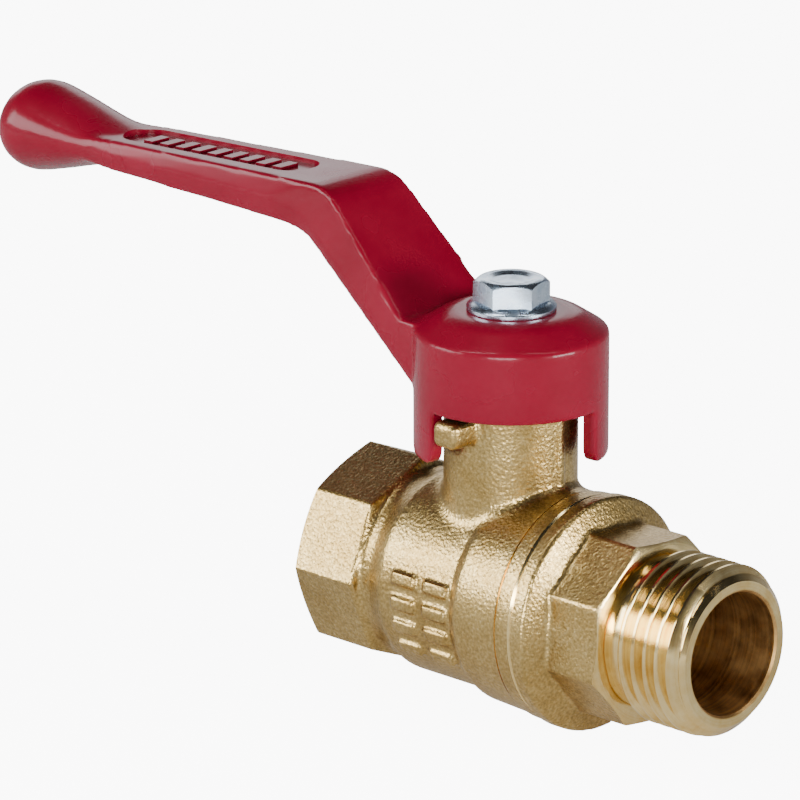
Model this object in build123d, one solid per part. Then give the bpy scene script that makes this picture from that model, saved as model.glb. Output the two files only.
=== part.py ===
from build123d import *
import math
import os

# A DN15 ball valve, female thread at -X, male thread at +X, lever along -X while it is open.
# X is the pipe axis, Z the stem axis. They cross at the origin, the ball's centre. Millimetres and degrees.

# Waterway, ball and seats
bore_d = 15.0
ball_d = 22.0
ball_slot_depth = 2.4
seat_d = 20.4
seat_lip = 0.25
seat_depth = 1.15
seat_clearance = 0.08
seat_front_flat = 0.9
# Clearances
chamber_clearance = 0.25
running_clearance = 0.05
thread_clearance = 0.05
travel_clearance = 0.3
# G 1/2 pipe thread, to ISO 228
pipe_thread_d = 20.955
pipe_pitch = 1.814
pipe_half_angle = 27.5
thread_depth_per_pitch = 0.6403
female_turns = 6
male_turns = 5
male_relief = 1.45
female_relief = 1.0
# Body
barrel_wall = 1.55
end_wall = 2.3
adapter_thread_height = 0.65
adapter_thread_length = 5.2
nose_length = 2.1
female_wall = 1.75
female_hex_length = 10.0
web = 2.95
female_mouth_chamfer = 0.45
waist_wall = 1.07
waist_length = 1.6
band_start_x = 2.0
band_ramp = 1.4
band_r = 13.65
band_rise = 0.3
end_ring_length = 2.4
edge_break = 0.25
seal_width = 1.2
seal_section = 0.9
neck_d = 16.2
neck_fillet = 1.4
# End adapter
flange_overhang = 0.25
flange_length = 2.1
flange_cone_length = 1.4
adapter_hex_margin = 1.045
adapter_hex_length = 7.7
adapter_turn = -4.0
hex_chamfer_angle = 30.0
male_end_chamfer = 1.15
end_face_step = 0.62
# Stem and its seals
stem_d = 8.0
stem_shoulder_d = 10.4
stem_shoulder_length = 2.0
stem_gap = 0.3
tang_thickness = 3.0
tang_width = 8.0
tang_clearance = 0.15
thrust_washer_t = 1.0
seal_land = 5.3
o_ring_section = 1.2
o_ring_groove_clearance = 0.05
o_ring_count = 2
neck_wall = 1.9
packing_ring_t = 1.5
packing_count = 3
gland_thread_length = 2.4
gland_af_margin = 2.2
gland_head = 2.8
stem_flat_af = 6.2
stem_end_gap = 0.6
# Lever
cup_gap = 1.85
hub_wall = 1.8
gland_gap = 1.2
hub_roof = 4.5
hub_bevel_length = 3.4
hub_bevel_drop = 2.5
rim_drop = 2.6
stop_overhang = 0.25
lug_drop = 6.6
lug_width = 6.4
stop_width = 3.8
stop_height = 3.3
stop_top_gap = 0.55
lever_reach = 85.5
grip_neck_x = 67.0
knob_x = 80.0
bend_x = 24.9
bend_rise = 11.5
arm_foot_x = 13.0
grip_slope = 2.2
grip_end_height = 3.6
grip_bend_height = 5.9
under_bend_run = 4.2
bend_radius = 6.0
foot_radius = 3.0
under_bend_radius = 8.0
arm_heel_drop = 9.8
arm_hub_width = 17.0
arm_bend_width = 12.4
grip_end_width = 10.6
knob_width = 13.6
knob_height = 11.8
recess_length = 34.0
recess_width = 6.4
recess_depth = 0.6
recess_start = 33.0
mark_count = 9
mark_length = 1.5
mark_width = 3.0
mark_height = 0.4
# Lever screw, M5 with a hexagon flange head
screw_d = 5.0
screw_length = 10.0
screw_flange_d = 10.8
screw_flange_t = 1.1
screw_hex_af = 8.0
screw_head = 3.9
screw_dish_d = 5.6
screw_dish_depth = 0.5
screw_turn = -16.0

# Radii and places that follow from them
bore_r = bore_d / 2
ball_r = ball_d / 2
ball_face_x = math.sqrt(ball_r**2 - bore_r**2)
seat_r = seat_d / 2
seat_bore_r = bore_r + seat_lip
seat_back_x = ball_face_x + seat_depth
seat_line_r = (seat_bore_r + seat_r) / 2
seat_line_x = math.sqrt(ball_r**2 - seat_line_r**2)
seat_front_x = seat_line_x - seat_front_flat
pocket_r = seat_r + thread_clearance
pocket_x = seat_back_x + thread_clearance
chamber_r = ball_r + chamber_clearance
barrel_r = chamber_r + barrel_wall
counterbore_r = chamber_r + adapter_thread_height
nose_x = seat_front_x + seat_clearance
thread_start_x = nose_x + nose_length
joint_x = thread_start_x + adapter_thread_length
end_ring_r = counterbore_r + end_wall
flange_r = end_ring_r + flange_overhang

major_r = pipe_thread_d / 2
thread_depth = thread_depth_per_pitch * pipe_pitch
minor_r = major_r - thread_depth
flank = thread_depth * math.tan(math.radians(pipe_half_angle))
crest = pipe_pitch / 2 - flank

female_af = pipe_thread_d + 2 * female_wall
female_root_x = -pocket_x - web
female_end_x = female_root_x - female_relief - female_turns * pipe_pitch
female_hex_front_x = female_end_x + female_hex_length
waist_r = major_r + edge_break + waist_wall
adapter_hex_af = pipe_thread_d + adapter_hex_margin
end_face_r = minor_r - end_face_step
male_hex_x = joint_x + flange_length + flange_cone_length
male_hex_front_x = male_hex_x + adapter_hex_length
male_thread_x = male_hex_front_x + male_relief
male_end_x = male_thread_x + male_turns * pipe_pitch + male_end_chamfer

stem_r = stem_d / 2
stem_bore_r = stem_r + running_clearance
shoulder_r = stem_shoulder_d / 2
stem_pocket_r = shoulder_r + chamber_clearance
shoulder_z = ball_r + stem_gap
washer_z = shoulder_z + stem_shoulder_length
ledge_z = washer_z + thrust_washer_t
packing_z = ledge_z + seal_land
gland_z = packing_z + packing_count * packing_ring_t
neck_top_z = gland_z + gland_thread_length
neck_r = neck_d / 2
packing_r = neck_r - neck_wall
gland_af = neck_d - gland_af_margin
slot_z = ball_r - ball_slot_depth

cup_r = neck_r + cup_gap
hub_r = cup_r + hub_wall
roof_z = neck_top_z + gland_head + gland_gap
hub_top_z = roof_z + hub_roof
arm_heel_z = hub_top_z - arm_heel_drop
rim_z = neck_top_z - rim_drop
stop_top_z = rim_z - stop_top_gap
stop_reach = hub_r + stop_overhang
stem_top_z = hub_top_z - stem_end_gap
bend_z = hub_top_z + bend_rise


def about_x(points):
    """A solid turned about the pipe axis from (x, radius) points."""
    return revolve(make_face(Polyline(*points, close=True)), Axis.X)


def about_z(points):
    """A solid turned about the stem axis from (radius, z) points."""
    return revolve(Plane.XZ * make_face(Polyline(*points, close=True)), Axis.Z)


def disc(radius, z_low, z_high):
    """A round bar on the stem axis."""
    return Pos(0, 0, z_low) * Cylinder(radius, z_high - z_low, align=(Align.CENTER, Align.CENTER, Align.MIN))


def tube(outer, inner, z_low, z_high):
    """A ring on the stem axis."""
    return disc(outer, z_low, z_high) - disc(inner, z_low, z_high)


def teeth(start_x, turns):
    """The outline of a 55 degree pipe thread along +X, as (x, radius) points from crest to crest."""
    points = []
    for turn in range(turns):
        x = start_x + turn * pipe_pitch
        points += [
            (x, minor_r),
            (x + flank, major_r),
            (x + flank + crest, major_r),
            (x + 2 * flank + crest, minor_r),
        ]
    return points


def octagon(across_flats, start_x, end_x, turn):
    """An octagonal wrench section whose corner edges are cut by turned cones at both ends."""
    corner_r = across_flats / 2 / math.cos(math.pi / 8)
    face_r = across_flats / 2 - edge_break
    cone = (corner_r - face_r) * math.tan(math.radians(hex_chamfer_angle))
    shape = RegularPolygon(across_flats / 2, 8, major_radius=False, rotation=turn)
    prism = extrude(Plane.YZ.offset(start_x) * shape, end_x - start_x)
    turned = [(start_x, 0), (start_x, face_r), (start_x + cone, corner_r)]
    turned += [(end_x - cone, corner_r), (end_x, face_r), (end_x, 0)]
    return prism & about_x(turned)


def body_outside():
    """The forging: a barrel with the neck blended onto it, then waist, band, end ring and octagon."""
    waist_end_x = female_hex_front_x + waist_length
    barrel_x = -neck_r - neck_fillet - edge_break
    ring_x = joint_x - end_ring_length
    barrel = about_x([(barrel_x, 0), (barrel_x, barrel_r), (ring_x, barrel_r), (ring_x, 0)])
    joined = barrel + disc(neck_r, 0, neck_top_z)
    saddle = [e for e in joined.edges().filter_by(GeomType.BSPLINE) if e.center().Z > 0]
    joined = fillet(saddle, min(neck_fillet, 0.9 * (ring_x - neck_r)))
    shoulder = [
        (female_hex_front_x - 1, 0),
        (female_hex_front_x - 1, waist_r),
        (waist_end_x, waist_r),
        (barrel_x, barrel_r),
        (barrel_x, 0),
    ]
    band = [
        (band_start_x, 0),
        (band_start_x, barrel_r),
        (band_start_x + band_ramp, band_r),
        (ring_x - edge_break, band_r + band_rise),
        (ring_x, end_ring_r),
        (joint_x - edge_break, end_ring_r),
        (joint_x, end_ring_r - edge_break),
        (joint_x, 0),
    ]
    joined += about_x(shoulder)
    joined += about_x(band)
    return joined + octagon(female_af, female_end_x, female_hex_front_x, 0)


def stop_boss():
    """The stop on the neck's -Y side, a bar as wide as the lugs leave room for."""
    low_z = stop_top_z - stop_height
    bar = Pos(0, -stop_reach / 2, low_z + stop_height / 2) * Box(stop_width, stop_reach, stop_height)
    ends = bar.edges().group_by(Axis.Y)[0]
    bar = fillet(ends, stop_width / 4)
    return bar - disc(packing_r + 2 * running_clearance, low_z - 1, stop_top_z + 1)


def female_cavity():
    """The female thread from the mouth to the web."""
    mouth_r = major_r + female_mouth_chamfer
    outline = [
        (female_end_x - 1, 0),
        (female_end_x - 1, mouth_r),
        (female_end_x, mouth_r),
        (female_end_x + pipe_pitch / 2, minor_r),
    ]
    outline += teeth(female_end_x + pipe_pitch, female_turns - 1)
    outline += [(female_root_x - female_relief, minor_r)]
    outline += [(female_root_x - female_relief + edge_break, major_r + edge_break)]
    outline += [(female_root_x, major_r + edge_break), (female_root_x, 0)]
    return about_x(outline)


def valve_body():
    """The valve body with its thread, seat pocket, chamber, counterbore and stem bores."""
    chamber = [
        (female_root_x - 1, 0),
        (female_root_x - 1, bore_r),
        (-pocket_x, bore_r),
        (-pocket_x, pocket_r),
        (-seat_front_x, pocket_r),
        (-seat_front_x, chamber_r),
        (thread_start_x, chamber_r),
        (thread_start_x, counterbore_r),
        (joint_x + 1, counterbore_r),
        (joint_x + 1, 0),
    ]
    stem_bores = [
        (0, 0),
        (stem_pocket_r, 0),
        (stem_pocket_r, ledge_z),
        (stem_bore_r, ledge_z),
        (stem_bore_r, packing_z),
        (packing_r, packing_z),
        (packing_r, neck_top_z - edge_break),
        (packing_r + 2 * edge_break, neck_top_z + edge_break),
        (0, neck_top_z + edge_break),
    ]
    solid = body_outside() + stop_boss()
    return solid - female_cavity() - about_x(chamber) - about_z(stem_bores)


def end_adapter():
    """The screwed-in end piece: nose with seat pocket, plain thread, flange, octagon and male thread."""
    nose_r = chamber_r - thread_clearance
    thread_r = counterbore_r - thread_clearance
    seal_x = joint_x - seal_width
    seal_r = thread_r - seal_section
    outline = [
        (nose_x, pocket_r),
        (nose_x, nose_r),
        (thread_start_x + thread_clearance, nose_r),
        (thread_start_x + thread_clearance, thread_r),
        (seal_x, thread_r),
        (seal_x, seal_r),
        (joint_x, seal_r),
        (joint_x, flange_r - edge_break),
        (joint_x + edge_break, flange_r),
        (joint_x + flange_length - edge_break, flange_r),
        (joint_x + flange_length, flange_r - edge_break),
        (male_hex_x, adapter_hex_af / 2),
        (male_hex_front_x, adapter_hex_af / 2 - edge_break),
        (male_hex_front_x, minor_r),
    ]
    outline += teeth(male_thread_x, male_turns)
    outline += [
        (male_end_x - male_end_chamfer, minor_r),
        (male_end_x, end_face_r),
        (male_end_x, bore_r),
        (pocket_x, bore_r),
        (pocket_x, pocket_r),
    ]
    wrench = octagon(adapter_hex_af, male_hex_x - flange_cone_length / 2, male_hex_front_x, 22.5 + adapter_turn)
    core = about_x([(male_hex_x - flange_cone_length, 0), (male_hex_x - flange_cone_length, bore_r + 1),
                    (male_hex_front_x + 1, bore_r + 1), (male_hex_front_x + 1, 0)])
    return about_x(outline) + (wrench - core)


def body_seal():
    """The flat ring in the undercut behind the adapter's flange."""
    outer = counterbore_r - thread_clearance
    inner = outer - seal_section + thread_clearance
    low_x = joint_x - seal_width + thread_clearance
    high_x = joint_x - thread_clearance
    return about_x([(low_x, inner), (low_x, outer), (high_x, outer), (high_x, inner)])


def seat_ring(side):
    """A seat with a conical face that lies along the ball. side is 1 for the outlet and -1 for the inlet."""
    reach = ball_r * (ball_r + seat_clearance)
    lip_x = (reach - seat_bore_r * seat_line_r) / seat_line_x
    front_r = (reach - nose_x * seat_line_x) / seat_line_r
    outline = [
        (seat_back_x, seat_bore_r),
        (seat_back_x, seat_r),
        (nose_x, seat_r),
        (nose_x, front_r),
        (lip_x, seat_bore_r),
    ]
    return about_x([(side * x, r) for x, r in outline])


def ball():
    """The ball with its port along X and, across its top, the slot that the stem's tang turns it by."""
    port = Rot(0, 90, 0) * Cylinder(bore_r, 2 * ball_d)
    slot = Pos(0, 0, slot_z) * Box(
        tang_thickness + 2 * tang_clearance, 2 * ball_d, ball_d, align=(Align.CENTER, Align.CENTER, Align.MIN)
    )
    return Sphere(ball_r) - port - slot


def o_ring_places():
    """The height of each stem seal's middle, spread over the bore between ledge and packing."""
    step = seal_land / (o_ring_count + 1)
    return [ledge_z + step * (number + 1) for number in range(o_ring_count)]


def stem():
    """The stem, put in from inside: tang, shoulder, seal grooves, double-D end and the screw's hole."""
    tang_low = slot_z + tang_clearance
    tang = Pos(0, 0, tang_low) * Box(
        tang_thickness, tang_width, shoulder_z - tang_low, align=(Align.CENTER, Align.CENTER, Align.MIN)
    )
    shaft = disc(shoulder_r, shoulder_z, washer_z) + disc(stem_r, washer_z, roof_z)
    for z in o_ring_places():
        half = o_ring_section / 2 + o_ring_groove_clearance
        shaft -= tube(stem_r + 1, stem_r - o_ring_section - o_ring_groove_clearance, z - half, z + half)
    shaft += double_d(stem_r, stem_flat_af, roof_z, stem_top_z)
    hole_r = screw_d / 2 + thread_clearance
    return shaft + tang - disc(hole_r, hub_top_z - screw_length - 1, stem_top_z + 1)


def double_d(radius, across_flats, z_low, z_high):
    """A round bar with two flats that face +Y and -Y."""
    slab = Box(4 * radius, across_flats, z_high - z_low, align=(Align.CENTER, Align.CENTER, Align.MIN))
    return disc(radius, z_low, z_high) & Pos(0, 0, z_low) * slab


def o_ring(z):
    """A stem seal that lies in its groove, flush with the stem."""
    return Pos(0, 0, z) * Torus(stem_r - o_ring_section / 2, o_ring_section / 2)


def gland_nut():
    """The nut in the neck that loads the packing, with a hexagon head above the neck."""
    head = Pos(0, 0, neck_top_z) * extrude(RegularPolygon(gland_af / 2, 6, major_radius=False), gland_head)
    thread = disc(packing_r - thread_clearance, gland_z, neck_top_z)
    return head + thread - disc(stem_bore_r, gland_z - 1, neck_top_z + gland_head + 1)


def grip_top_z(x):
    """The height of the grip's top face, which falls slightly towards the knob."""
    return bend_z - (x - bend_x) * math.tan(math.radians(grip_slope))


def arm_side():
    """The arm seen from the side: hub, steep arm, bend and grip, as a flat outline in XZ."""
    heel_x = math.sqrt(hub_r**2 - (arm_hub_width / 2) ** 2)
    points = [
        (0, hub_top_z),
        (-arm_foot_x, hub_top_z),
        (-bend_x, bend_z),
        (-grip_neck_x, grip_top_z(grip_neck_x)),
        (-grip_neck_x, grip_top_z(grip_neck_x) - grip_end_height),
        (-bend_x - under_bend_run, bend_z - grip_bend_height),
        (-heel_x, arm_heel_z),
        (0, arm_heel_z),
    ]
    face = make_face(Polyline(*points, close=True))
    for number, radius in ((1, foot_radius), (2, bend_radius), (5, under_bend_radius)):
        face = fillet(face.vertices().sort_by_distance(points[number])[0], radius)
    return face


def arm():
    """The arm from hub to grip, narrower towards the grip."""
    heel_x = math.sqrt(hub_r**2 - (arm_hub_width / 2) ** 2)
    half = [
        (0, arm_hub_width / 2),
        (-heel_x, arm_hub_width / 2),
        (-bend_x - under_bend_run, arm_bend_width / 2),
        (-grip_neck_x, grip_end_width / 2),
    ]
    plan = make_face(Polyline(*half, *[(x, -y) for x, y in reversed(half)], close=True))
    side = extrude(Plane.XZ * arm_side(), arm_hub_width, both=True)
    return side & extrude(plan, 2 * bend_z)


def knob():
    """The flared oval end of the grip, which swells from the grip and closes in a rounded nose."""
    middle_z = grip_top_z(grip_neck_x) - grip_end_height / 2
    flare = [(share, share**1.5) for share in (0, 0.25, 0.5, 0.75)]
    shapes = [(grip_neck_x + (knob_x - grip_neck_x) * share, swell) for share, swell in flare]
    sizes = []
    for x, swell in shapes:
        half_y = grip_end_width / 2 + (knob_width - grip_end_width) / 2 * swell
        half_z = grip_end_height / 2 + (knob_height - grip_end_height) / 2 * swell
        sizes.append((x, half_y, half_z))
    for angle in (0, 25, 50, 70, 82):
        turn = math.radians(angle)
        x = knob_x + (lever_reach - knob_x) * math.sin(turn)
        sizes.append((x, knob_width / 2 * math.cos(turn), knob_height / 2 * math.cos(turn)))
    sections = []
    for x, half_y, half_z in sizes:
        plane = Plane((-x, 0, middle_z), x_dir=(0, 1, 0), z_dir=(-1, 0, 0))
        sections.append(plane * Ellipse(half_y, half_z))
    return loft(sections)


def recess():
    """The long shallow recess in the grip's top, and the row of plain raised bars that it holds."""
    middle_x = recess_start + recess_length / 2
    slot = extrude(SlotOverall(recess_length, recess_width), recess_depth + 1)
    hollow = Pos(0, 0, -recess_depth) * slot
    pitch = (recess_length - recess_width) / mark_count
    for number in range(mark_count):
        x = (number - (mark_count - 1) / 2) * pitch
        bar = Box(mark_length, mark_width, mark_height, align=(Align.CENTER, Align.CENTER, Align.MIN))
        hollow -= Pos(x, 0, -recess_depth) * bar
    return Pos(-middle_x, 0, grip_top_z(middle_x)) * Rot(0, -grip_slope, 0) * hollow


def lever():
    """The lever: cup-shaped hub with two stop lugs, arm and flared grip with its marked recess."""
    hub = about_z([
        (0, roof_z),
        (cup_r, roof_z),
        (cup_r, rim_z),
        (hub_r, rim_z),
        (hub_r, hub_top_z - hub_bevel_drop),
        (hub_r - hub_bevel_length, hub_top_z - hub_bevel_drop * 0.2),
        (hub_r - hub_bevel_length - 1, hub_top_z),
        (0, hub_top_z),
    ])
    solid = hub + (arm() - disc(cup_r, 0, roof_z)) + knob()
    for lug in lugs():
        solid += lug
    solid -= recess()
    hole = double_d(stem_r + running_clearance, stem_flat_af + 2 * running_clearance, roof_z - 1, hub_top_z + 1)
    return solid - hole


def lugs():
    """Two lugs that hang from the rim. Each stands one clearance off the stop at its end of the turn."""
    gap = stop_width / 2 + travel_clearance
    low_z = rim_z - lug_drop
    ring = tube(hub_r, cup_r, low_z, rim_z + edge_break)
    block = Box(lug_width, 2 * hub_r, 2 * lug_drop, align=(Align.MIN, Align.MAX, Align.MIN))
    first = ring & Pos(-gap - lug_width, 0, low_z) * block
    return [first, Rot(0, 0, 90) * mirror(first, Plane.YZ)]


def lever_screw():
    """The screw that holds the lever on the stem: shank, washer flange and dished hexagon head."""
    flange = disc(screw_flange_d / 2, hub_top_z, hub_top_z + screw_flange_t)
    shape = RegularPolygon(screw_hex_af / 2, 6, major_radius=False, rotation=screw_turn)
    hexagon = Pos(0, 0, hub_top_z) * extrude(shape, screw_head)
    corner_r = screw_hex_af / 2 / math.cos(math.pi / 6)
    top_z = hub_top_z + screw_head
    hexagon &= about_z([
        (0, hub_top_z),
        (corner_r, hub_top_z),
        (corner_r, top_z - (corner_r - screw_hex_af / 2) / 2),
        (screw_hex_af / 2 - edge_break, top_z),
        (0, top_z),
    ])
    dish = disc(screw_dish_d / 2, top_z - screw_dish_depth, top_z + 1)
    return flange + hexagon - dish + disc(screw_d / 2, hub_top_z - screw_length, hub_top_z)


def write(shape, name):
    """One STEP file for each piece."""
    export_step(shape, "parts/" + name + ".step")


os.makedirs("parts", exist_ok=True)
write(valve_body(), "valve_body")
write(end_adapter(), "end_adapter")
write(body_seal(), "body_seal_ring")
write(seat_ring(-1), "seat_ring_inlet")
write(seat_ring(1), "seat_ring_outlet")
write(ball(), "ball")
write(stem(), "stem")
write(tube(shoulder_r, stem_bore_r, washer_z, ledge_z), "thrust_washer")
for number, height in enumerate(o_ring_places(), 1):
    write(o_ring(height), "stem_o_ring_" + str(number))
for number in range(packing_count):
    low_z = packing_z + number * packing_ring_t
    ring = tube(packing_r - running_clearance, stem_bore_r, low_z, low_z + packing_ring_t)
    write(ring, "packing_ring_" + str(number + 1))
write(gland_nut(), "gland_nut")
write(lever(), "lever")
write(lever_screw(), "lever_screw")
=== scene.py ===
import math

import bmesh
import bpy
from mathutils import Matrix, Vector


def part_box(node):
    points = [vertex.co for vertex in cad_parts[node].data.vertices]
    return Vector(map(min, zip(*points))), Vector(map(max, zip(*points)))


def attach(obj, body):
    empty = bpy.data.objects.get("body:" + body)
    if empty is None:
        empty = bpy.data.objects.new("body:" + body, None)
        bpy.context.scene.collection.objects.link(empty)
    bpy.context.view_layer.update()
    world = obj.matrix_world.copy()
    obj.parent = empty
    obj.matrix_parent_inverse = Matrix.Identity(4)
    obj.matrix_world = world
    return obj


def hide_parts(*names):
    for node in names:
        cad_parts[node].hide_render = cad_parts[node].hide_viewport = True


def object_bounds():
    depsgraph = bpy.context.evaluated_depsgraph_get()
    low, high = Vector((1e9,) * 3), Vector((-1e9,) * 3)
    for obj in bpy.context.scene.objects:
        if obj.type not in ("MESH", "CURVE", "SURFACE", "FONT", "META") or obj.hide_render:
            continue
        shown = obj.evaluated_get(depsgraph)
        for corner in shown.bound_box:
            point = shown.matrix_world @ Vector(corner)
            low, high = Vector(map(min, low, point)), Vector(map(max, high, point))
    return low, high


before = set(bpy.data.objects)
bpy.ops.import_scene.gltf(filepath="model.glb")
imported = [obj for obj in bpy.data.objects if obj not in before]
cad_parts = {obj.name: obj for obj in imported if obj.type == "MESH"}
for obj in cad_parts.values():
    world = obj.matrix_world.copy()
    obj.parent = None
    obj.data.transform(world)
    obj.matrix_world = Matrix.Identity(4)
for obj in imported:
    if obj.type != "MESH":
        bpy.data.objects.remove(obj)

CAD_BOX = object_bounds()

# --- Camera ---------------------------------------------------------------
# A long lens from the front right, a little above the valve.
camera_data = bpy.data.cameras.new("camera")
camera_data.lens = 268.1065
camera_data.sensor_width = 36
camera_data.clip_end = 10
camera = bpy.data.objects.new("camera", camera_data)
bpy.context.scene.collection.objects.link(camera)
camera.location = (0.461932, -0.501752, 0.236768)
camera.rotation_euler = [math.radians(angle) for angle in (72.6387, 0.0847, 43.726)]
bpy.context.scene.camera = camera

# --- Valve body -----------------------------------------------------------
# A hot forging in brass, pressed in two dies that meet on the stem's plane, then shot blasted.
# The threads, chamber, end ring and octagon chamfers are turned afterwards, and show bright metal.
MM = 0.001
X_AXIS = Vector((1, 0, 0))
Z_AXIS = Vector((0, 0, 1))
BORE_R = 7.5
NECK_R = 8.1
BARREL_R = 12.8
# G 1/2 pipe thread, with flanks at 27.5 degrees and crests as wide as the roots.
THREAD_PITCH = 1.814
THREAD_MINOR_R = 9.316
THREAD_MAJOR_R = 10.4775
THREAD_FLANK = (THREAD_MAJOR_R - THREAD_MINOR_R) * math.tan(math.radians(27.5))
THREAD_CREST = THREAD_PITCH / 2 - THREAD_FLANK


def corners_mm(node):
    """The lowest and the highest corner of a CAD node at rest, in mm."""
    low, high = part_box(node)
    return low / MM, high / MM


BODY_LOW, BODY_HIGH = corners_mm("valve_body")
FEMALE_END_X = BODY_LOW.x
JOINT_X = BODY_HIGH.x
NECK_TOP_Z = BODY_HIGH.z


def linear(hex_colour):
    """An sRGB hex colour as the linear values that the shaders take."""
    channels = [int(hex_colour[i:i + 2], 16) / 255 for i in (1, 3, 5)]
    return [c / 12.92 if c <= 0.04045 else ((c + 0.055) / 1.055) ** 2.4 for c in channels] + [1.0]


def add_node(material, kind, settings=None, **links):
    """Adds a shader node, with its settings and with its inputs set or linked."""
    tree = material.node_tree
    node = tree.nodes.new(kind)
    for name, value in (settings or {}).items():
        setattr(node, name, value)
    for name, value in links.items():
        key = int(name[1:]) if name[0] == "i" and name[1:].isdigit() else name.replace("_", " ")
        if isinstance(value, bpy.types.NodeSocket):
            tree.links.new(value, node.inputs[key])
        else:
            node.inputs[key].default_value = value
    return node


def new_material(name):
    """A new node material, and its Principled shader."""
    material = bpy.data.materials.new(name)
    material.use_nodes = True
    shader = material.node_tree.nodes["Principled BSDF"]
    return material, shader


def ramp(material, value, stops):
    """A colour ramp over a value, from (position, hex colour) stops."""
    node = add_node(material, "ShaderNodeValToRGB", i0=value)
    elements = node.color_ramp.elements
    while len(elements) < len(stops):
        elements.new(0.5)
    for element, (position, colour) in zip(elements, stops):
        element.position = position
        element.color = linear(colour)
    return node.outputs["Color"]


def dress(material, shader, colour, rough, bump):
    """Links a shader's colour, roughness and bump."""
    links = material.node_tree.links
    links.new(colour, shader.inputs["Base Color"])
    links.new(rough, shader.inputs["Roughness"])
    links.new(bump.outputs[0], shader.inputs["Normal"])


def forged_brass(name):
    """Shot-blasted forged brass: a fine pebbled skin that sparkles, warmer and darker in its hollows."""
    material, shader = new_material(name)
    place = add_node(material, "ShaderNodeTexCoord").outputs["Object"]
    # Blasting leaves dimples of about 0.2 mm. They are drawn at about 0.4 mm, the finest that shows.
    dimples = add_node(material, "ShaderNodeTexNoise", Vector=place, Scale=1 / (0.36 * MM), Detail=2.0,
                       Roughness=0.6).outputs["Fac"]
    pits = add_node(material, "ShaderNodeTexVoronoi", {"feature": "SMOOTH_F1"}, Vector=place,
                    Scale=1 / (0.42 * MM), Smoothness=0.5).outputs["Distance"]
    # Slow changes of tone from the die and the heat, about 6 mm across.
    clouds = add_node(material, "ShaderNodeTexNoise", Vector=place, Scale=1 / (6 * MM), Detail=4.0,
                      Roughness=0.6).outputs["Fac"]
    height = add_node(material, "ShaderNodeMath", {"operation": "ADD"}, i0=dimples, i1=pits).outputs[0]
    grain = ramp(material, dimples, [(0.3, "#A48C58"), (0.5, "#BDA268"), (0.72, "#D6BE86")])
    tone = ramp(material, clouds, [(0.3, "#E4DCCB"), (0.7, "#FFFFFF")])
    colour = add_node(material, "ShaderNodeMix", {"data_type": "RGBA", "blend_type": "MULTIPLY"},
                      i0=1.0, i6=grain, i7=tone).outputs[2]
    rough = add_node(material, "ShaderNodeMapRange", Value=dimples, i3=0.4, i4=0.23).outputs[0]
    bump = add_node(material, "ShaderNodeBump", Height=height, Strength=0.55, Distance=0.085 * MM)
    dress(material, shader, colour, rough, bump)
    shader.inputs["Metallic"].default_value = 1.0
    return material


def turned_metal(name, dark, light, axis, groove_mm, roughness, strength):
    """Bright turned metal: fine lathe lines round the axis that stretch every highlight across them."""
    material, shader = new_material(name)
    place = add_node(material, "ShaderNodeTexCoord").outputs["Object"]
    split = add_node(material, "ShaderNodeSeparateXYZ", Vector=place).outputs
    along, across = (split[0], (split[1], split[2])) if axis == "X" else (split[2], (split[0], split[1]))
    radial = add_node(material, "ShaderNodeCombineXYZ", X=across[0], Y=across[1]).outputs[0]
    radius = add_node(material, "ShaderNodeVectorMath", {"operation": "LENGTH"}, i0=radial).outputs["Value"]
    reach = add_node(material, "ShaderNodeMath", {"operation": "MULTIPLY_ADD"}, i0=radius, i1=1.37,
                     i2=along).outputs[0]
    lines = add_node(material, "ShaderNodeTexNoise", {"noise_dimensions": "1D"}, W=reach,
                     Scale=1 / (groove_mm * MM), Detail=2.0, Roughness=0.55).outputs["Fac"]
    stains = add_node(material, "ShaderNodeTexNoise", Vector=place, Scale=1 / (3.5 * MM), Detail=4.0,
                      Roughness=0.65).outputs["Fac"]
    mixed = add_node(material, "ShaderNodeMath", {"operation": "MULTIPLY_ADD"}, i0=lines, i1=0.35,
                     i2=add_node(material, "ShaderNodeMath", {"operation": "MULTIPLY"}, i0=stains,
                                 i1=0.65).outputs[0]).outputs[0]
    colour = ramp(material, mixed, [(0.32, dark), (0.6, light)])
    rough = add_node(material, "ShaderNodeMapRange", Value=stains, i1=0.3, i2=0.7, i3=roughness * 0.8,
                     i4=roughness * 1.3).outputs[0]
    bump = add_node(material, "ShaderNodeBump", Height=lines, Strength=strength, Distance=0.02 * MM)
    dress(material, shader, colour, rough, bump)
    shader.inputs["Metallic"].default_value = 1.0
    return material


def clear_selection():
    if bpy.context.object and bpy.context.object.mode != "OBJECT":
        bpy.ops.object.mode_set(mode="OBJECT")
    bpy.ops.object.select_all(action="DESELECT")


def pick(piece):
    """Makes a piece the only selected and active object."""
    clear_selection()
    piece.select_set(True)
    bpy.context.view_layer.objects.active = piece


def settle(piece, name=None, material=None):
    """Puts a new piece's place into its mesh, turns its faces outwards, and names and paints it."""
    pick(piece)
    bpy.ops.object.transform_apply(location=True, rotation=True, scale=True)
    bpy.ops.object.mode_set(mode="EDIT")
    bpy.ops.mesh.select_all(action="SELECT")
    bpy.ops.mesh.normals_make_consistent(inside=False)
    # A wound thread can come out of that inside out.
    if bmesh.from_edit_mesh(piece.data).calc_volume(signed=True) < 0:
        bpy.ops.mesh.flip_normals()
    bpy.ops.object.mode_set(mode="OBJECT")
    if name:
        piece.name = piece.data.name = name
    if material:
        piece.data.materials.clear()
        piece.data.materials.append(material)
    return piece


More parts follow.
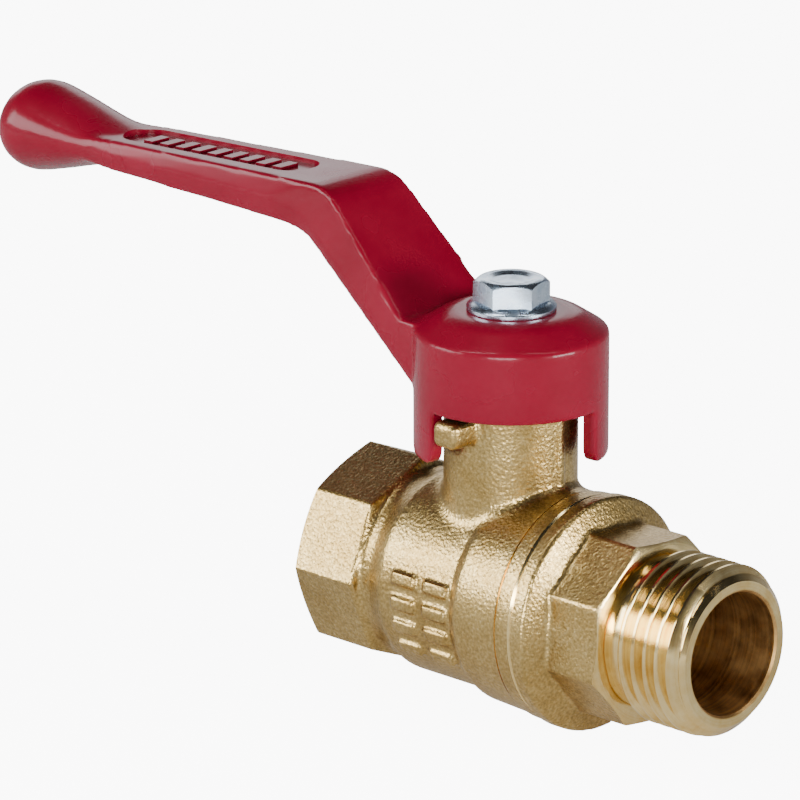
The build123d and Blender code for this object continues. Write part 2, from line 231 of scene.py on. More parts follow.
def turned(name, profile, axis=X_AXIS, steps=128, material=None):
    """A turned solid, drawn out section by section along its axis from (place, radius) pairs in mm."""
    clear_selection()
    place, radius = profile[0]
    tilt = (0, math.pi / 2, 0) if axis is X_AXIS else (0, 0, 0)
    bpy.ops.mesh.primitive_circle_add(vertices=steps, radius=radius * MM, fill_type="NGON",
                                      location=axis * place * MM, rotation=tilt)
    piece = bpy.context.object
    bpy.ops.object.mode_set(mode="EDIT")
    bpy.ops.mesh.select_all(action="SELECT")
    for (start, old_r), (end, new_r) in zip(profile, profile[1:]):
        bpy.ops.mesh.extrude_region_move(TRANSFORM_OT_translate={"value": axis * (end - start) * MM})
        share = new_r / old_r
        value = (1, share, share) if axis is X_AXIS else (share, share, 1)
        bpy.ops.transform.resize(value=value, center_override=axis * end * MM)
    return settle(piece, name, material)


def block(name, low, high, material=None, round_mm=0.0):
    """A rectangular block between two corners in mm, with rounded edges if asked."""
    clear_selection()
    middle = [(a + b) / 2 * MM for a, b in zip(low, high)]
    bpy.ops.mesh.primitive_cube_add(size=1, location=middle, scale=[(b - a) * MM for a, b in zip(low, high)])
    piece = bpy.context.object
    bpy.ops.object.transform_apply(location=False, rotation=False, scale=True)
    if round_mm:
        bpy.ops.object.mode_set(mode="EDIT")
        bpy.ops.mesh.select_all(action="SELECT")
        bpy.ops.mesh.bevel(offset=round_mm * MM, segments=4, affect="EDGES")
    return settle(piece, name, material)


def apply_all(piece):
    pick(piece)
    for modifier in list(piece.modifiers):
        bpy.ops.object.modifier_apply(modifier=modifier.name)
    return piece


def combine(piece, tool, operation):
    """Joins, cuts or trims a piece with a tool, which is used up. Cut faces take the tool's finish."""
    modifier = piece.modifiers.new("combine", "BOOLEAN")
    modifier.operation = operation
    modifier.solver = "EXACT"
    modifier.material_mode = "TRANSFER"
    modifier.object = tool
    apply_all(piece)
    bpy.data.objects.remove(tool)
    return piece


def soften(piece, voxel_mm, passes):
    """Gives a joined blank one closed skin with the soft edges of a forging or a casting."""
    remesh = piece.modifiers.new("skin", "REMESH")
    remesh.mode = "VOXEL"
    remesh.voxel_size = voxel_mm * MM
    remesh.use_smooth_shade = True
    smooth = piece.modifiers.new("soft", "SMOOTH")
    smooth.factor = 0.5
    smooth.iterations = passes
    return apply_all(piece)


def relax(piece, chosen, repeat):
    """Smooths only the vertices that a test on their place picks, which makes a fillet in a corner."""
    pick(piece)
    bpy.ops.object.mode_set(mode="EDIT")
    bpy.ops.mesh.select_all(action="DESELECT")
    bpy.ops.mesh.select_mode(type="VERT")
    mesh = bmesh.from_edit_mesh(piece.data)
    for vertex in mesh.verts:
        vertex.select = chosen(vertex.co / MM)
    mesh.select_flush_mode()
    bmesh.update_edit_mesh(piece.data)
    bpy.ops.mesh.vertices_smooth(factor=0.5, repeat=repeat)
    bpy.ops.object.mode_set(mode="OBJECT")
    return piece


def corner_r(flats, sides):
    """The radius at the corners of a section, from its size across flats."""
    return flats / 2 / math.cos(math.pi / sides)


def swing(piece, degrees, axis):
    """Turns a piece's mesh about an axis through the origin."""
    pick(piece)
    bpy.ops.object.mode_set(mode="EDIT")
    bpy.ops.mesh.select_all(action="SELECT")
    bpy.ops.transform.rotate(value=math.radians(degrees), orient_axis=axis, center_override=(0, 0, 0))
    bpy.ops.object.mode_set(mode="OBJECT")
    return piece


def octagon(name, start_x, end_x, flats):
    """An eight-sided wrench section with a corner at its top."""
    clear_selection()
    bpy.ops.mesh.primitive_cylinder_add(vertices=8, radius=corner_r(flats, 8) * MM,
                                        depth=(end_x - start_x) * MM,
                                        location=((start_x + end_x) / 2 * MM, 0, 0),
                                        rotation=(0, math.pi / 2, 0))
    return settle(bpy.context.object, name)


SPARE_TURNS = 1.5


def threaded_bar(name, start_x, end_x, material, steps=96):
    """A bar with a 55 degree pipe thread, one thread form wound along X and cut square at both ends."""
    turns = math.ceil((end_x - start_x) / THREAD_PITCH + SPARE_TURNS)
    first_x = start_x - SPARE_TURNS * THREAD_PITCH
    form = [(THREAD_FLANK, THREAD_MAJOR_R), (THREAD_FLANK + THREAD_CREST * 0.25, THREAD_MAJOR_R),
            (THREAD_FLANK + THREAD_CREST, THREAD_MAJOR_R),
            (2 * THREAD_FLANK + THREAD_CREST, THREAD_MINOR_R), (THREAD_PITCH, THREAD_MINOR_R)]
    clear_selection()
    bpy.ops.mesh.primitive_plane_add(size=MM, location=(first_x * MM, 0, THREAD_MINOR_R * MM))
    piece = bpy.context.object
    bpy.ops.object.mode_set(mode="EDIT")
    bpy.ops.mesh.select_all(action="SELECT")
    bpy.ops.mesh.merge(type="CENTER")
    x, radius = 0, THREAD_MINOR_R
    for next_x, next_r in form:
        bpy.ops.mesh.extrude_vertices_move(
            TRANSFORM_OT_translate={"value": ((next_x - x) * MM, 0, (next_r - radius) * MM)})
        x, radius = next_x, next_r
    bpy.ops.object.mode_set(mode="OBJECT")
    bpy.ops.object.transform_apply(location=True, rotation=True, scale=True)
    screw = piece.modifiers.new("wind", "SCREW")
    screw.axis = "X"
    screw.angle = turns * 2 * math.pi
    screw.screw_offset = turns * THREAD_PITCH * MM
    screw.steps = screw.render_steps = turns * steps
    screw.use_merge_vertices = False
    apply_all(piece)
    bpy.ops.object.mode_set(mode="EDIT")
    bpy.ops.mesh.select_all(action="SELECT")
    bpy.ops.mesh.remove_doubles(threshold=0.002 * MM)
    # The cuts need a small threshold, or vertices near them stay and leave ragged ends.
    for cut_x, facing in ((start_x, -1), (end_x, 1)):
        bpy.ops.mesh.select_all(action="SELECT")
        bpy.ops.mesh.bisect(plane_co=(cut_x * MM, 0, 0), plane_no=(facing, 0, 0), clear_outer=True,
                            threshold=0.0001 * MM)
    bpy.ops.mesh.select_all(action="SELECT")
    bpy.ops.mesh.fill_holes(sides=0)
    bpy.ops.object.mode_set(mode="OBJECT")
    return settle(piece, name, material)


FORGED = forged_brass("forged_brass_blasted")
# Turned brass: yellow and bright, a little orange where it stains. The tool's grooves are about
# 0.2 mm apart, and drawn at 0.35 mm so that they show.
TURNED = turned_metal("brass_turned_bright", "#D6B26A", "#EED79C", "X", 0.35, 0.15, 0.35)

FEMALE_FRONT_X = FEMALE_END_X + 10
FEMALE_FLATS = 24.455
FEMALE_ROOT_X = -12.1967
# What the forging has to spare for turning.
SPARE = 0.4
forging = turned("body_forging", [
    (FEMALE_FRONT_X - 1, 11.8), (-12.48, 11.8), (-12.0, 11.95), (-9.75, 12.8), (2.0, 12.8),
    (2.3, 13.05), (3.4, 13.65), (10.19, 13.95), (10.55, 14.15), (JOINT_X + SPARE, 14.2)])
combine(forging, octagon("octagon", FEMALE_END_X - SPARE, FEMALE_FRONT_X, FEMALE_FLATS), "UNION")
combine(forging, turned("neck", [(0, NECK_R), (NECK_TOP_Z + SPARE, NECK_R)], Z_AXIS), "UNION")
# The stop that the lever's lugs meet.
combine(forging, block("stop", (-1.9, -12.0, 20.05), (1.9, -4, 23.35), round_mm=0.9), "UNION")
# The trimmed flash where the two dies met, on the neck's two sides and on the barrel's bottom and top.
FLASH = 0.26
FLASH_HALF = 0.45
for low, high in (((0, -FLASH_HALF, 10), (NECK_R + FLASH, FLASH_HALF, NECK_TOP_Z + SPARE)),
                  ((-NECK_R - FLASH, -FLASH_HALF, 10), (0, FLASH_HALF, NECK_TOP_Z + SPARE)),
                  ((-9.9, -FLASH_HALF, -BARREL_R - FLASH), (2.2, FLASH_HALF, 0)),
                  ((-9.9, -FLASH_HALF, 0), (2.2, FLASH_HALF, BARREL_R + FLASH))):
    combine(forging, block("flash", low, high), "UNION")
# Two rows of plain raised bars round the barrel's front.
BAR_SCALE = (3.7 * MM, 1.5 * MM, 1.4 * MM)
BAR_MIDDLE_R = 12.7
for row_x in (-0.5, -5.7):
    for number in range(4):
        bar_angle = math.radians(119 - 13.5 * number)
        bar_y, bar_z = -math.sin(bar_angle) * BAR_MIDDLE_R, math.cos(bar_angle) * BAR_MIDDLE_R
        clear_selection()
        bpy.ops.mesh.primitive_cube_add(size=1, scale=BAR_SCALE, rotation=(bar_angle, 0, 0),
                                        location=(row_x * MM, bar_y * MM, bar_z * MM))
        combine(forging, settle(bpy.context.object, "bar"), "UNION")
soften(forging, 0.27, 3)


def in_saddle(place):
    """Near the corner where the neck meets the barrel."""
    from_neck = abs(math.hypot(place.x, place.y) - NECK_R)
    from_barrel = abs(math.hypot(place.y, place.z) - BARREL_R)
    return place.z > 5 and from_neck < 1.8 and from_barrel < 1.8


def at_shoulder(place):
    return -14.4 < place.x < -9 and math.hypot(place.y, place.z) < 13.2


relax(forging, in_saddle, 70)
relax(forging, at_shoulder, 6)
forging.data.materials.clear()
forging.data.materials.append(FORGED)

# What the lathe leaves: chamfered mouth, groove behind the end ring, chamfered joint face, and the hollows.
CHAMFER = 0.58
CLEAR_R = 16.0
GROOVE_X = 10.2
GROOVE_R = 13.72
SEAT_X = 9.2467
SEAT_R = 10.25
CHAMBER_X = -5.46
CHAMBER_R = 11.25
SLEEVE_X = 7.64
SLEEVE_R = 11.9
LEDGE_Z = 14.3
SHOULDER_ROOM_R = 5.45
STEM_HOLE_R = 4.05
PACKING_Z = 19.6
PACKING_R = 6.2
machined = turned("machined", [
    (FEMALE_END_X, FEMALE_FLATS / 2 - 0.25), (FEMALE_END_X + CHAMFER, corner_r(FEMALE_FLATS, 8) - 0.02),
    (FEMALE_END_X + CHAMFER + 0.1, CLEAR_R), (GROOVE_X, CLEAR_R), (GROOVE_X + 0.01, GROOVE_R),
    (GROOVE_X + 0.3, GROOVE_R), (GROOVE_X + 0.31, CLEAR_R), (JOINT_X - 0.35, CLEAR_R),
    (JOINT_X - 0.34, 14.16), (JOINT_X, 13.85)], material=TURNED)
combine(machined, block("neck_room", (-9.5, -13, 9), (9.5, 9.5, NECK_TOP_Z), TURNED), "UNION")
for tool in (
        threaded_bar("tapping", FEMALE_END_X - 1, FEMALE_ROOT_X - 1.0, TURNED),
        turned("mouth", [(FEMALE_END_X - 1.1, 11.9), (FEMALE_END_X + 0.9, 9.35)], material=TURNED),
        turned("relief", [(FEMALE_ROOT_X - 1.05, 10.5), (FEMALE_ROOT_X - 0.75, 10.7275),
                          (FEMALE_ROOT_X, 10.7275)], material=TURNED),
        turned("bore", [(FEMALE_ROOT_X - 0.5, BORE_R), (0, BORE_R)], material=TURNED),
        turned("chamber", [(-SEAT_X, SEAT_R), (CHAMBER_X, SEAT_R), (CHAMBER_X, CHAMBER_R),
                           (SLEEVE_X, CHAMBER_R), (SLEEVE_X, SLEEVE_R), (JOINT_X + 1, SLEEVE_R)],
               material=TURNED),
        turned("stem_bore", [(5, SHOULDER_ROOM_R), (LEDGE_Z, SHOULDER_ROOM_R), (LEDGE_Z, STEM_HOLE_R),
                             (PACKING_Z, STEM_HOLE_R), (PACKING_Z, PACKING_R),
                             (NECK_TOP_Z - 0.25, PACKING_R), (NECK_TOP_Z + 0.25, PACKING_R + 0.5)],
               Z_AXIS, material=TURNED)):
    combine(machined, tool, "DIFFERENCE")
combine(forging, machined, "INTERSECT")


def finish_piece(piece, body, slot, *nodes):
    """Shades a finished piece, and says what it rides on and stands for. The slot argument is not used."""
    pick(piece)
    bpy.ops.object.shade_smooth_by_angle(angle=math.radians(35))
    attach(piece, body)
    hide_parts(*nodes)


finish_piece(forging, "housing", "forged_brass", "valve_body")

# --- End adapter ----------------------------------------------------------
# The screwed-in end piece: forged octagon and flange skin, turned rim, relief, pipe thread and bore.
ADAPTER_FLATS = 22.0
WRENCH_X = 16.34
WRENCH_FRONT_X = 24.04
THREAD_X = 25.49
END_X = corners_mm("end_adapter")[1].x
FLANGE_R = 14.43
FLANGE_END_X = 14.94
NOSE_X = 5.54
NOSE_R = 11.2
adapter = turned("adapter_forging", [(JOINT_X - 1.5, 12.5), (JOINT_X - 0.5, FLANGE_R),
                                     (FLANGE_END_X, FLANGE_R), (WRENCH_X, 11.2), (20, 10.9)])
combine(adapter, swing(octagon("wrench", 15.6, WRENCH_FRONT_X + SPARE, ADAPTER_FLATS), -18.5, "X"), "UNION")
soften(adapter, 0.27, 3)
adapter.data.materials.clear()
adapter.data.materials.append(FORGED)
blank = turned("adapter_turned", [
    (JOINT_X, 14.05), (JOINT_X + 0.4, FLANGE_R - 0.01), (JOINT_X + 0.41, 14.9),
    (WRENCH_FRONT_X - 0.75, 14.9), (WRENCH_FRONT_X - 0.74, corner_r(ADAPTER_FLATS, 8) + 0.15),
    (WRENCH_FRONT_X, 10.75)], material=TURNED)
# The nose has a sleeve that screws into the body, and a groove for the body seal.
nose = turned("nose", [(NOSE_X, NOSE_R), (SLEEVE_X + 0.05, NOSE_R), (SLEEVE_X + 0.05, SLEEVE_R - 0.05),
                       (11.64, SLEEVE_R - 0.05), (11.64, 10.95), (JOINT_X + 0.5, 10.95)], material=TURNED)
combine(adapter, blank, "INTERSECT")
combine(adapter, nose, "UNION")
spigot = threaded_bar("spigot", WRENCH_FRONT_X + 0.9, END_X, TURNED)
trim = turned("trim", [(WRENCH_FRONT_X + 0.9, 9.5), (THREAD_X + 0.35, 9.5), (THREAD_X + 1.0, 10.47),
                       (END_X - 1.55, 10.47), (END_X, 8.85)], material=TURNED)
combine(spigot, trim, "INTERSECT")
combine(spigot, turned("root", [(WRENCH_FRONT_X - 2, 9.3), (END_X - 0.9, 9.3)], material=TURNED), "UNION")
combine(adapter, spigot, "UNION")
# The bore is darker inside: painted shade, as a darker and browner copy of the turned brass, with a coarser
# tool mark.
BORE_PAINTED_SHADE = turned_metal("bored_brass_painted_shade", "#9A7444", "#CDA468", "X", 0.5, 0.42, 0.5)
combine(adapter, turned("bore", [(4, BORE_R), (END_X - 0.25, BORE_R), (END_X + 0.25, BORE_R + 0.5)],
                        material=BORE_PAINTED_SHADE), "DIFFERENCE")
combine(adapter, turned("pocket", [(NOSE_X - 0.54, SEAT_R), (SEAT_X, SEAT_R)], material=TURNED), "DIFFERENCE")
finish_piece(adapter, "housing", "turned_brass", "end_adapter")

# --- Lever ----------------------------------------------------------------
# An aluminium die casting under thick, glossy, crimson stove enamel that rounds every edge.
GRIP_FALL_DEGREES = 2.2
GRIP_FALL = math.tan(math.radians(GRIP_FALL_DEGREES))


def red_enamel(name):
    """Stove enamel: wet gloss over a faint orange peel, a little lighter and pinker where it is thin."""
    material, shader = new_material(name)
    place = add_node(material, "ShaderNodeTexCoord").outputs["Object"]
    # Orange peel waves are about 1.3 mm across.
    peel = add_node(material, "ShaderNodeTexNoise", Vector=place, Scale=1 / (1.3 * MM), Detail=1.5,
                    Roughness=0.5).outputs["Fac"]
    pool = add_node(material, "ShaderNodeTexNoise", Vector=place, Scale=1 / (9 * MM),
                    Detail=3.0).outputs["Fac"]
    colour = ramp(material, pool, [(0.3, "#740A1F"), (0.7, "#7F0F26")])
    rough = add_node(material, "ShaderNodeMapRange", Value=pool, i1=0.3, i2=0.7, i3=0.22, i4=0.3).outputs[0]
    bump = add_node(material, "ShaderNodeBump", Height=peel, Strength=0.12, Distance=0.06 * MM)
    dress(material, shader, colour, rough, bump)
    shader.inputs["IOR"].default_value = 1.26
    shader.inputs["Coat Weight"].default_value = 0.12
    shader.inputs["Coat Roughness"].default_value = 0.06
    return material


ENAMEL = red_enamel("crimson_stove_enamel")


def choose(piece, indices):
    """Selects just these vertices of the piece that is being edited."""
    mesh = bmesh.from_edit_mesh(piece.data)
    for part in (mesh.faces, mesh.edges, mesh.verts):
        for element in part:
            element.select = False
    mesh.verts.ensure_lookup_table()
    for index in indices:
        mesh.verts[index].select = True
    mesh.select_flush_mode()
    bmesh.update_edit_mesh(piece.data)


def six_sided_bar(name, stations):
    """A bar of six-sided section, drawn out station by station. Each station gives, in mm, the x and z
    of its top and of its bottom, the half widths at its top, its parting line and its bottom, and how
    high that line is, as a share."""
    clear_selection()
    bpy.ops.mesh.primitive_circle_add(vertices=6, radius=MM, fill_type="NGON",
                                      location=(0, 0, 30 * MM), rotation=(0, math.pi / 2, 0))
    piece = bpy.context.object
    bpy.ops.object.transform_apply(location=True, rotation=True, scale=True)
    bpy.ops.object.mode_set(mode="EDIT")
    bpy.ops.mesh.select_mode(type="VERT")
    bpy.ops.mesh.select_all(action="SELECT")
    up = Z_AXIS
    for number, (top_x, top_z, low_x, low_z, top, crease, bottom, share) in enumerate(stations):
        if number:
            bpy.ops.mesh.extrude_region_move(TRANSFORM_OT_translate={"value": (-MM, 0, 0)})
        mesh = bmesh.from_edit_mesh(piece.data)
        ring = sorted((v for v in mesh.verts if v.select), key=lambda v: v.co.dot(up))
        ring = [v.index for v in ring]
        high, low = Vector((top_x, 0, top_z)), Vector((low_x, 0, low_z))
        up = (high - low).normalized()
        for pair, width, place in ((ring[4:], top, high), (ring[2:4], crease, low.lerp(high, share)),
                                   (ring[:2], bottom, low)):
            choose(piece, pair)
            mesh = bmesh.from_edit_mesh(piece.data)
            mesh.verts.ensure_lookup_table()
            first, second = (mesh.verts[index].co.copy() for index in pair)
            bpy.ops.transform.translate(value=place * MM - (first + second) / 2)
            bpy.ops.transform.resize(value=(1, width * MM / abs(first.y), 1), center_override=place * MM)
        choose(piece, ring)
    return settle(piece, name)


def grip_top(x):
    return 46.5 + (x + 24.9) * GRIP_FALL


def under(x):
    """The grip's underside, a straight line from bend to neck."""
    bend, end = (-29.1, 40.6), (-67.0, grip_top(-67.0) - 3.6)
    return bend[1] + (x - bend[0]) / (end[0] - bend[0]) * (end[1] - bend[1])


def plan(x):
    """The arm's half width: wide at the hub, narrower to the bend, then almost parallel."""
    if x > -8.1:
        return 8.5
    if x > -29.1:
        return 8.5 + (x + 8.1) / 21.0 * 2.3
    return 6.2 + (x + 29.1) / 37.9 * 0.9


def arm_station(top_x, top_z, low_x, low_z, draft, share):
    """The arm's section between a place on its top and one on its underside."""
    return (top_x, top_z, low_x, low_z, plan(top_x) - draft, plan(low_x + (top_x - low_x) * share) + 0.12,
            plan(low_x) - 0.2, share)


def grip_station(x, draft):
    return arm_station(x, grip_top(x), x, under(x), draft, 0.5)


arm = six_sided_bar("lever_casting", [
    arm_station(0.0, 33.0, 0.0, 24.9, 0.4, 0.2),
    arm_station(-5.0, 33.0, -8.1, 25.1, 0.4, 0.2),
    arm_station(-10.9, 33.1, -13.0, 28.69, 0.4, 0.2),
    arm_station(-12.9, 34.9, -15.98, 30.88, 0.4, 0.2),
    arm_station(-14.5, 36.45, -17.6, 32.07, 0.4, 0.2),
    arm_station(-19.0, 40.8, -22.6, 35.73, 0.42, 0.2),
    arm_station(-23.06, 44.72, -27.0, 38.96, 0.45, 0.2),
    arm_station(-24.0, 45.45, -28.1, 39.65, 0.45, 0.22),
    arm_station(-25.1, 46.0, -29.3, 40.1, 0.45, 0.26),
    arm_station(-26.3, 46.3, -30.5, 40.4, 0.45, 0.32),
    arm_station(-27.6, 46.4, -31.7, 40.55, 0.45, 0.38),
    arm_station(-35.0, grip_top(-35.0), -37.0, under(-37.0), 0.45, 0.48),
    grip_station(-45, 0.45),
    grip_station(-55, 0.45),
    grip_station(-62, 0.45),
    grip_station(-67, 0.45),
    grip_station(-79, 0.45),
])
# The flared end, drawn out of an oval like the bell of a horn.
knob_middle = grip_top(-67.0) - 1.8
clear_selection()
bpy.ops.mesh.primitive_circle_add(vertices=64, radius=MM, fill_type="NGON",
                                  location=(-60 * MM, 0, knob_middle * MM), rotation=(0, math.pi / 2, 0))
knob = bpy.context.object
bpy.ops.object.mode_set(mode="EDIT")
bpy.ops.mesh.select_all(action="SELECT")
# Each station gives x, half the width and half the height.
flare = [(-60, 4.2, 1.5), (-63, 4.7, 1.8), (-65, 5.0, 2.05), (-67, 5.3, 2.45), (-69, 5.5, 2.9),
         (-71, 5.7, 3.4), (-73, 5.95, 3.95), (-75, 6.2, 4.5), (-77, 6.42, 5.0), (-79, 6.6, 5.5),
         (-80.5, 6.72, 5.78), (-81.8, 6.6, 5.75), (-83, 6.2, 5.4), (-84, 5.5, 4.8), (-84.9, 4.3, 3.8),
         (-85.35, 2.9, 2.5), (-85.5, 1.5, 1.3)]
last = (-60, 1.0, 1.0)
for x, half_y, half_z in flare:
    if x != last[0]:
        bpy.ops.mesh.extrude_region_move(TRANSFORM_OT_translate={"value": ((x - last[0]) * MM, 0, 0)})
    bpy.ops.transform.resize(value=(1, half_y / last[1], half_z / last[2]),
                             center_override=(x * MM, 0, knob_middle * MM))
    last = (x, half_y, half_z)
combine(arm, settle(knob, "knob"), "UNION")
LEVER_LOW, LEVER_HIGH = corners_mm("lever")
HUB_R = LEVER_HIGH.x
LUG_Z = LEVER_LOW.z
RIM_Z = 23.9
CUP_R = 9.95
CUP_ROOF_Z = 30.5
hub = turned("hub", [(RIM_Z, HUB_R), (32.35, HUB_R), (32.6, HUB_R - 0.12), (34.45, 8.75), (34.8, 7.9),
                     (35.0, 6.9)], Z_AXIS)
combine(arm, hub, "UNION")
# Two lugs hang from the rim and meet the stop at either end of the quarter turn.
lugs = turned("lugs", [(LUG_Z, HUB_R), (RIM_Z + 1, HUB_R)], Z_AXIS)
lug_room = block("lug_room", (-8.6, -13.6, LUG_Z), (-2.2, -3, RIM_Z + 3), round_mm=1.7)
second_room = block("second_room", (3, 2.2, LUG_Z), (13.6, 8.6, RIM_Z + 3), round_mm=1.7)
combine(lug_room, second_room, "UNION")
combine(lugs, lug_room, "INTERSECT")
combine(arm, lugs, "UNION")
soften(arm, 0.27, 9)


def at_foot(place):
    """Where the arm's top runs into the hub's top."""
    return -15 < place.x < -6.5 and place.z > 32.6 and abs(place.y) < 7.6


relax(arm, at_foot, 15)


def at_flare(reach):
    """Where the six-sided grip runs out into the round bell."""
    return lambda place: abs(place.x + 71) < reach


for reach in (7, 5.5, 4, 2.5):
    relax(arm, at_flare(reach), 9)
arm.data.materials.clear()
arm.data.materials.append(ENAMEL)
# The hollows of the casting: cup, double-D hole for the stem, and the recess in the grip.
cup = turned("cup", [(LUG_Z - 1.3, CUP_R), (CUP_ROOF_Z, CUP_R)], Z_AXIS, material=ENAMEL)
combine(arm, cup, "DIFFERENCE")
hole = turned("hole", [(CUP_ROOF_Z - 1, STEM_HOLE_R), (36, STEM_HOLE_R)], Z_AXIS, material=ENAMEL)
combine(hole, block("flats", (-6, -3.15, 29), (6, 3.15, 37), material=ENAMEL), "INTERSECT")
combine(arm, hole, "DIFFERENCE")
RECESS_MIDDLE = -49.3
RECESS_HALF = 16.0
RECESS_HALF_WIDTH = 3.2
MARKS = 9
recess = block("recess", (-RECESS_HALF, -RECESS_HALF_WIDTH, -0.6), (RECESS_HALF, RECESS_HALF_WIDTH, 1.4),
               material=ENAMEL)
pick(recess)
bpy.ops.object.mode_set(mode="EDIT")
bpy.ops.mesh.select_mode(type="EDGE")
mesh = bmesh.from_edit_mesh(recess.data)
for edge in mesh.edges:
    edge.select = abs(edge.verts[0].co.z - edge.verts[1].co.z) > MM
bmesh.update_edit_mesh(recess.data)
bpy.ops.mesh.bevel(offset=3.1 * MM, segments=10, affect="EDGES")
bpy.ops.object.mode_set(mode="OBJECT")
# Plain bars are left standing in it, in a row.
pitch = 2 * (RECESS_HALF - RECESS_HALF_WIDTH) / MARKS
for number in range(MARKS):
    x = (number - (MARKS - 1) / 2) * pitch
    mark = block("mark", (x - 0.75, -1.5, -1), (x + 0.75, 1.5, -0.2), material=ENAMEL)
    combine(recess, mark, "DIFFERENCE")
swing(recess, GRIP_FALL_DEGREES, "Y")
recess.location = (RECESS_MIDDLE * MM, 0, grip_top(RECESS_MIDDLE) * MM)
combine(arm, settle(recess), "DIFFERENCE")
finish_piece(arm, "handle", "red_enamel", "lever")

# --- Lever screw ----------------------------------------------------------
# An M5 hexagon flange screw in cold-headed steel, bright zinc plated, its head dished by the punch.
SCREW_FLATS = 8.0


def zinc_plate(name):
    """Bright zinc on steel: bluish silver with faint cloudy patches and a soft, clean shine."""
    material, shader = new_material(name)
    place = add_node(material, "ShaderNodeTexCoord").outputs["Object"]
    cloud = add_node(material, "ShaderNodeTexNoise", Vector=place, Scale=1 / (1.6 * MM),
                     Detail=4.0).outputs["Fac"]
    fine = add_node(material, "ShaderNodeTexNoise", Vector=place, Scale=1 / (0.35 * MM),
                    Detail=2.0).outputs["Fac"]
    colour = ramp(material, cloud, [(0.3, "#B2C4D6"), (0.7, "#DCEAF8")])
    rough = add_node(material, "ShaderNodeMapRange", Value=cloud, i1=0.3, i2=0.7, i3=0.32, i4=0.2).outputs[0]
    bump = add_node(material, "ShaderNodeBump", Height=fine, Strength=0.12, Distance=0.03 * MM)
    dress(material, shader, colour, rough, bump)
    shader.inputs["Metallic"].default_value = 1.0
    return material


ZINC = zinc_plate("bright_zinc_plate")
SCREW_LOW, SCREW_HIGH = corners_mm("lever_screw")
SHANK_Z = SCREW_LOW.z
SHANK_R = 2.5
HEAD_Z = 35.0
TOP_Z = SCREW_HIGH.z
clear_selection()
bpy.ops.mesh.primitive_cylinder_add(vertices=6, radius=corner_r(SCREW_FLATS, 6) * MM,
                                    depth=(TOP_Z - HEAD_Z) * MM, location=(0, 0, (TOP_Z + HEAD_Z) / 2 * MM))
screw = swing(settle(bpy.context.object, "flange_screw", ZINC), 46, "Z")
combine(screw, turned("crown", [(HEAD_Z - 1, 4.75), (TOP_Z - 0.62, 4.75), (TOP_Z - 0.1, 3.95), (TOP_Z, 3.7)],
                      Z_AXIS, material=ZINC), "INTERSECT")
washer = turned("washer", [(HEAD_Z, 5.3), (HEAD_Z + 0.12, 5.4), (HEAD_Z + 0.5, 5.4), (HEAD_Z + 0.72, 5.2),
                           (HEAD_Z + 1.1, 4.3)], Z_AXIS, material=ZINC)
combine(screw, washer, "UNION")
shank = turned("shank", [(SHANK_Z, SHANK_R - 0.3), (SHANK_Z + 0.4, SHANK_R), (HEAD_Z + 0.5, SHANK_R)],
               Z_AXIS, material=ZINC)
combine(screw, shank, "UNION")
dish = turned("dish", [(TOP_Z - 0.28, 1.9), (TOP_Z - 0.24, 2.3), (TOP_Z + 0.02, 2.9), (TOP_Z + 1, 3.2)],
              Z_AXIS, material=ZINC)
combine(screw, dish, "DIFFERENCE")
bevel = screw.modifiers.new("edges", "BEVEL")
bevel.width = 0.12 * MM
bevel.segments = 3
bevel.limit_method = "ANGLE"
bevel.angle_limit = math.radians(28)
bevel.use_clamp_overlap = True
apply_all(screw)
finish_piece(screw, "handle", "zinc_steel", "lever_screw")

# --- Ball, seats and seals ------------------------------------------------
# The working parts inside: a chromed brass ball in two moulded seats, and the stem with its seals.
CHROME = turned_metal("hard_chrome", "#C2C8CE", "#E6EAEE", "X", 0.6, 0.09, 0.05)
STEM_BRASS = turned_metal("turned_brass_stem", "#CFA05A", "#EBCB88", "Z", 0.3, 0.22, 0.3)


def moulded(name, dark, light, roughness, grain_mm):
    """A moulded seal: even colour with a faint mottle and a fine satin grain."""
    material, shader = new_material(name)
    place = add_node(material, "ShaderNodeTexCoord").outputs["Object"]
    mottle = add_node(material, "ShaderNodeTexNoise", Vector=place, Scale=1 / (2.5 * MM),
                      Detail=3.0).outputs["Fac"]
    grain = add_node(material, "ShaderNodeTexNoise", Vector=place, Scale=1 / (grain_mm * MM)).outputs["Fac"]
    bump = add_node(material, "ShaderNodeBump", Height=grain, Strength=0.2, Distance=0.03 * MM)
    links = material.node_tree.links
    links.new(ramp(material, mottle, [(0.3, dark), (0.7, light)]), shader.inputs["Base Color"])
    links.new(bump.outputs[0], shader.inputs["Normal"])
    shader.inputs["Roughness"].default_value = roughness
    return material


# PTFE is a waxy, slightly warm white; nitrile rubber a dull, soft black.
PTFE = moulded("ptfe_moulded", "#DEDBD2", "#F0EEE8", 0.42, 0.3)
RUBBER = moulded("nitrile_rubber", "#141416", "#232325", 0.6, 0.25)
for nodes, material in ((("ball",), CHROME), (("stem", "gland_nut"), STEM_BRASS),
                        (("seat_ring_inlet", "seat_ring_outlet", "thrust_washer", "packing_ring_1",
                          "packing_ring_2", "packing_ring_3"), PTFE),
                        (("body_seal_ring", "stem_o_ring_1", "stem_o_ring_2"), RUBBER)):
    for node in nodes:
        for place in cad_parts[node].material_slots:
            place.material = material

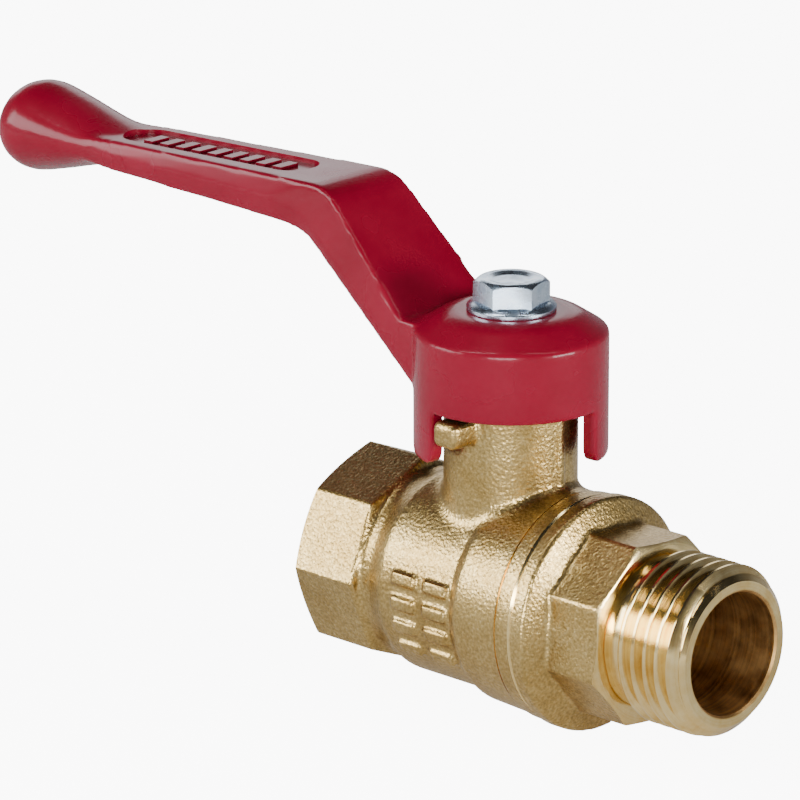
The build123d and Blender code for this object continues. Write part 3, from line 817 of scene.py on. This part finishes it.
# --- Studio ---------------------------------------------------------------
# A pale paper under the valve, large softboxes round it and two narrow ones overhead.
FLOOR_GAP = 0.05 * MM
FLOOR_Z = CAD_BOX[0].z - FLOOR_GAP
clear_selection()
bpy.ops.mesh.primitive_plane_add(size=8, location=(0, 0, FLOOR_Z))
floor = bpy.context.object
floor.name = "floor"
paper, paper_shader = new_material("pale_paper")
paper_shader.inputs["Base Color"].default_value = linear("#DADADA")
paper_shader.inputs["Roughness"].default_value = 0.9
paper_shader.inputs["Emission Color"].default_value = (1, 1, 1, 1)
# The paper is lit from below as on a light table, which shows but hardly lights the valve.
seen = add_node(paper, "ShaderNodeLightPath").outputs["Is Camera Ray"]
glow = add_node(paper, "ShaderNodeMath", {"operation": "MULTIPLY"}, i0=seen, i1=9.0).outputs[0]
paper.node_tree.links.new(glow, paper_shader.inputs["Emission Strength"])
floor.data.materials.append(paper)

# The room is darker overhead and light towards the horizon.
world = bpy.data.worlds.new("studio")
world.use_nodes = True
bpy.context.scene.world = world
direction = add_node(world, "ShaderNodeTexCoord").outputs["Generated"]
height = add_node(world, "ShaderNodeSeparateXYZ", Vector=direction).outputs[2]
sky = ramp(world, height, [(0.0, "#C4C6CE"), (0.3, "#8C8E96"), (0.6, "#38383C"), (1.0, "#242428")])
world.node_tree.links.new(sky, world.node_tree.nodes["Background"].inputs[0])
world.node_tree.nodes["Background"].inputs[1].default_value = 0.7


def softbox(name, azimuth, elevation, distance, size, power):
    """An area light on a sphere round the valve, azimuth 0 at the front and 90 at the right."""
    light = bpy.data.lights.new(name, "AREA")
    light.shape = "RECTANGLE"
    light.size, light.size_y = size
    light.energy = power
    holder = bpy.data.objects.new(name, light)
    bpy.context.scene.collection.objects.link(holder)
    a, e = math.radians(azimuth), math.radians(elevation)
    back = Vector((math.sin(a) * math.cos(e), -math.cos(a) * math.cos(e), math.sin(e)))
    holder.location = back * distance + Vector((-0.01, 0, 0.015))
    holder.rotation_euler = back.to_track_quat("Z", "Y").to_euler()


softbox("key_front_left", -42, 20, 0.9, (0.6, 0.4), 8.0)
softbox("front_fill", 34, 11, 0.9, (0.45, 0.22), 8.5)
softbox("over_left", -40, 66, 0.9, (0.06, 0.5), 1.7)
softbox("over_right", 120, 66, 0.9, (0.06, 0.5), 0.8)
softbox("side_right", 104, 7, 1.0, (0.45, 0.24), 10.5)
softbox("back_left", -128, 18, 1.1, (0.9, 0.4), 2.0)
